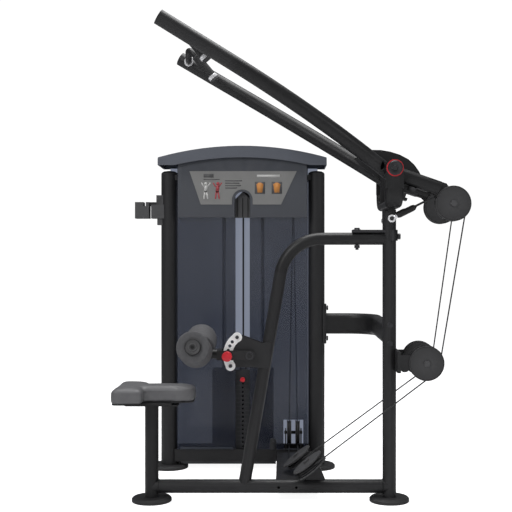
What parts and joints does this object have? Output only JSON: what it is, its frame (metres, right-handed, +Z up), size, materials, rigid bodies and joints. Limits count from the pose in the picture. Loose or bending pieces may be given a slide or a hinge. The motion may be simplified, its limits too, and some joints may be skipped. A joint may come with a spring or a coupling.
{
  "type": "lat pulldown machine",
  "caption": "Selectorised lat pulldown machine with two converging overhead press arms, seat, thigh rollers and an enclosed weight stack tower",
  "frame": {"origin": "underside of the foot disc under the main post, on the floor", "axes": "+Z up; the seated user faces +X with the right hand on -Y; the weight tower stands on +Y"},
  "size_m": [1.546, 1.3261, 2.0574],
  "materials": {
    "frame_black": "satin black powder coat",
    "rubber_black": "matte black rubber",
    "foam_grey": "closed-cell foam with a matte skin",
    "vinyl_grey": "dark grey grained vinyl",
    "cable_black": "nylon-coated steel cable",
    "shroud_blue": "dark slate blue moulded plastic",
    "smoked_panel": "smoked translucent panel",
    "placard_grey": "grey printed placard",
    "rod_chrome": "polished chrome",
    "zinc_plate": "bright zinc plate",
    "bolt_dark": "black oxide steel",
    "accent_red": "bright red anodised or moulded accent",
    "plate_iron": "black painted cast weight plates",
    "pulley_plastic": "dark glass-filled nylon",
    "holder_grey": "dark grey plastic"
  },
  "bodies": {
    "frame": {"base_tube": "frame_black", "seat_post": "frame_black", "main_post": "frame_black", "foot_discs": "rubber_black", "curved_brace": "frame_black", "brace_clamp": "bolt_dark", "frame_bolts": "bolt_dark", "base_link": "frame_black", "side_link": "frame_black", "post_yoke": "frame_black", "rubber_bumpers": "rubber_black", "hub_shafts": "rod_chrome", "hub_rings": "accent_red", "left_upright": "frame_black", "right_upright": "frame_black", "upright_caps": "rubber_black", "tower_beams": "frame_black", "front_panels": "smoked_panel", "rear_panel": "smoked_panel", "header_cover": "shroud_blue", "placard": "placard_grey", "top_cap": "shroud_blue", "guide_rods": "rod_chrome", "weight_plates": "plate_iron", "mid_bracket": "frame_black", "base_brackets": "frame_black", "tower_brackets": "frame_black", "pulley_covers": "pulley_plastic", "pad_bracket": "frame_black", "pad_sector": "zinc_plate", "seat_pad": "vinyl_grey", "accessory_holder": "holder_grey", "cable": "cable_black"},
    "right_press_arm": {"right_arm": "frame_black", "right_lever": "frame_black", "right_handle": "frame_black", "right_grip": "rubber_black", "right_axle": "pulley_plastic"},
    "left_press_arm": {"left_arm": "frame_black", "left_lever": "frame_black", "left_handle": "frame_black", "left_grip": "rubber_black", "left_axle": "pulley_plastic"},
    "right_arm_wheel": {"right_arm_pulley": "pulley_plastic"},
    "left_arm_wheel": {"left_arm_pulley": "pulley_plastic"},
    "right_mid_wheel": {"right_mid_pulley": "pulley_plastic"},
    "left_mid_wheel": {"left_mid_pulley": "pulley_plastic"},
    "right_base_wheel": {"right_base_pulley": "pulley_plastic"},
    "left_base_wheel": {"left_base_pulley": "pulley_plastic"},
    "low_wheels": {"low_pulleys": "pulley_plastic"},
    "top_wheels": {"top_pulleys": "pulley_plastic"},
    "centre_wheels": {"centre_pulleys": "pulley_plastic"},
    "lifted_stack": {"head_plate": "plate_iron", "first_plate": "plate_iron"},
    "head_wheel": {"head_pulley": "pulley_plastic"},
    "stack_pin": {"selector_pin": "accent_red"},
    "pad_lever": {"pad_arm": "frame_black"},
    "right_foam": {"right_roller": "foam_grey"},
    "left_foam": {"left_roller": "foam_grey"},
    "pad_lock": {"pop_pin": "accent_red"}
  },
  "joints": [
    {"name": "right_arm_pivot", "type": "hinge", "parent": "frame", "child": "right_press_arm", "pos_m": [0, -0.168, 1.446], "axis": [0, -1, 0], "range_deg": [0, 38], "deforming": ["cable"]},
    {"name": "left_arm_pivot", "type": "hinge", "parent": "frame", "child": "left_press_arm", "pos_m": [0, 0.168, 1.446], "axis": [0, -1, 0], "range_deg": [0, 38]},
    {"name": "right_arm_pulley_spin", "type": "hinge", "parent": "right_press_arm", "child": "right_arm_wheel", "pos_m": [0.251, -0.168, 1.3], "axis": [0, -1, 0], "range_deg": [0, 90]},
    {"name": "left_arm_pulley_spin", "type": "hinge", "parent": "left_press_arm", "child": "left_arm_wheel", "pos_m": [0.251, 0.168, 1.3], "axis": [0, -1, 0], "range_deg": [0, 90]},
    {"name": "right_mid_pulley_spin", "type": "hinge", "parent": "frame", "child": "right_mid_wheel", "pos_m": [0.146, -0.115, 0.62], "axis": [0, -1, 0], "range_deg": [0, 328]},
    {"name": "left_mid_pulley_spin", "type": "hinge", "parent": "frame", "child": "left_mid_wheel", "pos_m": [0.146, 0.115, 0.62], "axis": [0, -1, 0], "range_deg": [0, 328]},
    {"name": "right_base_pulley_spin", "type": "hinge", "parent": "frame", "child": "right_base_wheel", "pos_m": [-0.352, -0.056, 0.169], "axis": [-0.628, 0, 0.7782], "range_deg": [0, 328]},
    {"name": "left_base_pulley_spin", "type": "hinge", "parent": "frame", "child": "left_base_wheel", "pos_m": [-0.3958, 0.174, 0.15], "axis": [-0.628, 0, 0.7782], "range_deg": [0, 328]},
    {"name": "low_pulleys_spin", "type": "hinge", "parent": "frame", "child": "low_wheels", "pos_m": [-0.4165, 0.689, 0.182], "axis": [-1, 0, 0], "range_deg": [0, 328]},
    {"name": "top_pulleys_spin", "type": "hinge", "parent": "frame", "child": "top_wheels", "pos_m": [-0.4755, 0.748, 1.424], "axis": [0, 1, 0], "range_deg": [0, 328]},
    {"name": "centre_pulleys_spin", "type": "hinge", "parent": "frame", "child": "centre_wheels", "pos_m": [-0.6145, 0.748, 1.424], "axis": [0, 1, 0], "range_deg": [0, 328]},
    {"name": "stack_lift", "type": "slide", "parent": "frame", "child": "lifted_stack", "axis": [0, 0, 1], "range_m": [0, 0.34]},
    {"name": "head_pulley_spin", "type": "hinge", "parent": "lifted_stack", "child": "head_wheel", "pos_m": [-0.6735, 0.748, 0.5521], "axis": [1, 0, 0], "continuous": true},
    {"name": "selector_pin_pull", "type": "slide", "parent": "lifted_stack", "child": "stack_pin", "axis": [0, -1, 0], "range_m": [0, 0.075]},
    {"name": "thigh_pad_swing", "type": "hinge", "parent": "frame", "child": "pad_lever", "pos_m": [-0.613, 0, 0.645], "axis": [0, 1, 0], "range_deg": [-12, 38]},
    {"name": "pop_pin_pull", "type": "slide", "parent": "pad_lever", "child": "pad_lock", "axis": [0, -1, 0], "range_m": [-0.008, 0.012], "stiffness_N_per_m": 300},
    {"name": "right_roller_spin", "type": "hinge", "parent": "pad_lever", "child": "right_foam", "pos_m": [-0.844, 0, 0.648], "axis": [0, -0.9781, 0.2079], "continuous": true},
    {"name": "left_roller_spin", "type": "hinge", "parent": "pad_lever", "child": "left_foam", "pos_m": [-0.844, 0, 0.648], "axis": [0, 0.9781, 0.2079], "continuous": true}
  ],
  "couplings": [
    {"joint": "left_arm_pivot", "follows": "right_arm_pivot", "ratio": 1},
    {"joint": "stack_lift", "follows": "right_arm_pivot", "m_per_rad": 0.5028},
    {"joint": "right_arm_pulley_spin", "follows": "right_arm_pivot", "ratio": 1.9},
    {"joint": "left_arm_pulley_spin", "follows": "right_arm_pivot", "ratio": 1.9},
    {"joint": "right_mid_pulley_spin", "follows": "right_arm_pivot", "ratio": 8.522},
    {"joint": "left_mid_pulley_spin", "follows": "right_arm_pivot", "ratio": 8.522},
    {"joint": "right_base_pulley_spin", "follows": "right_arm_pivot", "ratio": 8.522},
    {"joint": "left_base_pulley_spin", "follows": "right_arm_pivot", "ratio": 8.522},
    {"joint": "low_pulleys_spin", "follows": "right_arm_pivot", "ratio": 8.522},
    {"joint": "top_pulleys_spin", "follows": "right_arm_pivot", "ratio": 8.522},
    {"joint": "centre_pulleys_spin", "follows": "right_arm_pivot", "ratio": 8.522}
  ]
}
